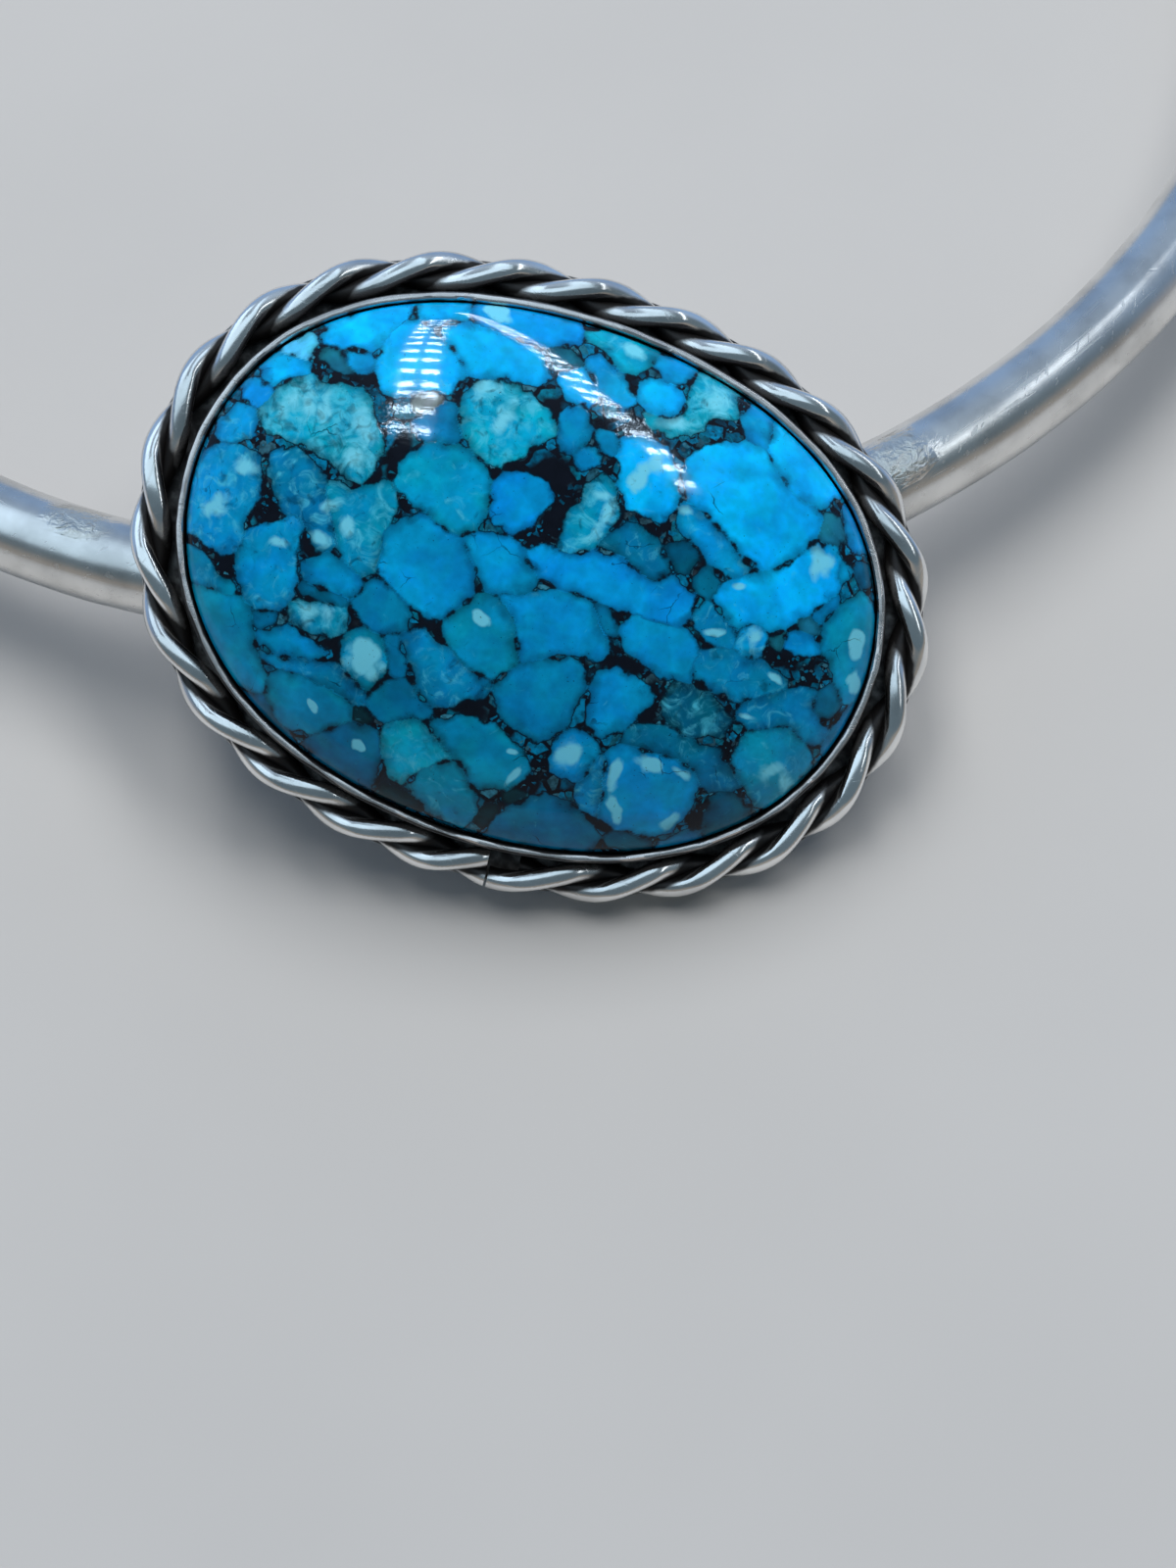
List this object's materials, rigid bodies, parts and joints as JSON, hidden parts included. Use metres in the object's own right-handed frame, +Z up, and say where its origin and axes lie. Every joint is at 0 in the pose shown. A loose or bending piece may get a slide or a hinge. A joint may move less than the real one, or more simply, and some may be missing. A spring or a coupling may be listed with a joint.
{
  "type": "collar necklace",
  "caption": "Rigid open silver collar choker with a large oval composite turquoise cabochon in a plain bezel edged with twisted wire.",
  "frame": {"origin": "middle of the bounding box, on the plane that the choker rests on with its back plate's lower edge and its two rounded tips", "axes": "+Y from the stone towards the open back of the collar, +Z up, +X to the right as the stone's face is looked at; the stone faces up and towards -Y"},
  "size_m": [0.1258, 0.137, 0.0256],
  "materials": {
    "silver": "sterling silver, polished and finely scratched, darkened in the recesses",
    "turquoise": "polished composite turquoise, blue and green chips in a near-black matrix"
  },
  "bodies": {
    "root": {"silver_collar": "silver", "turquoise_stone": "turquoise"}
  },
  "joints": []
}
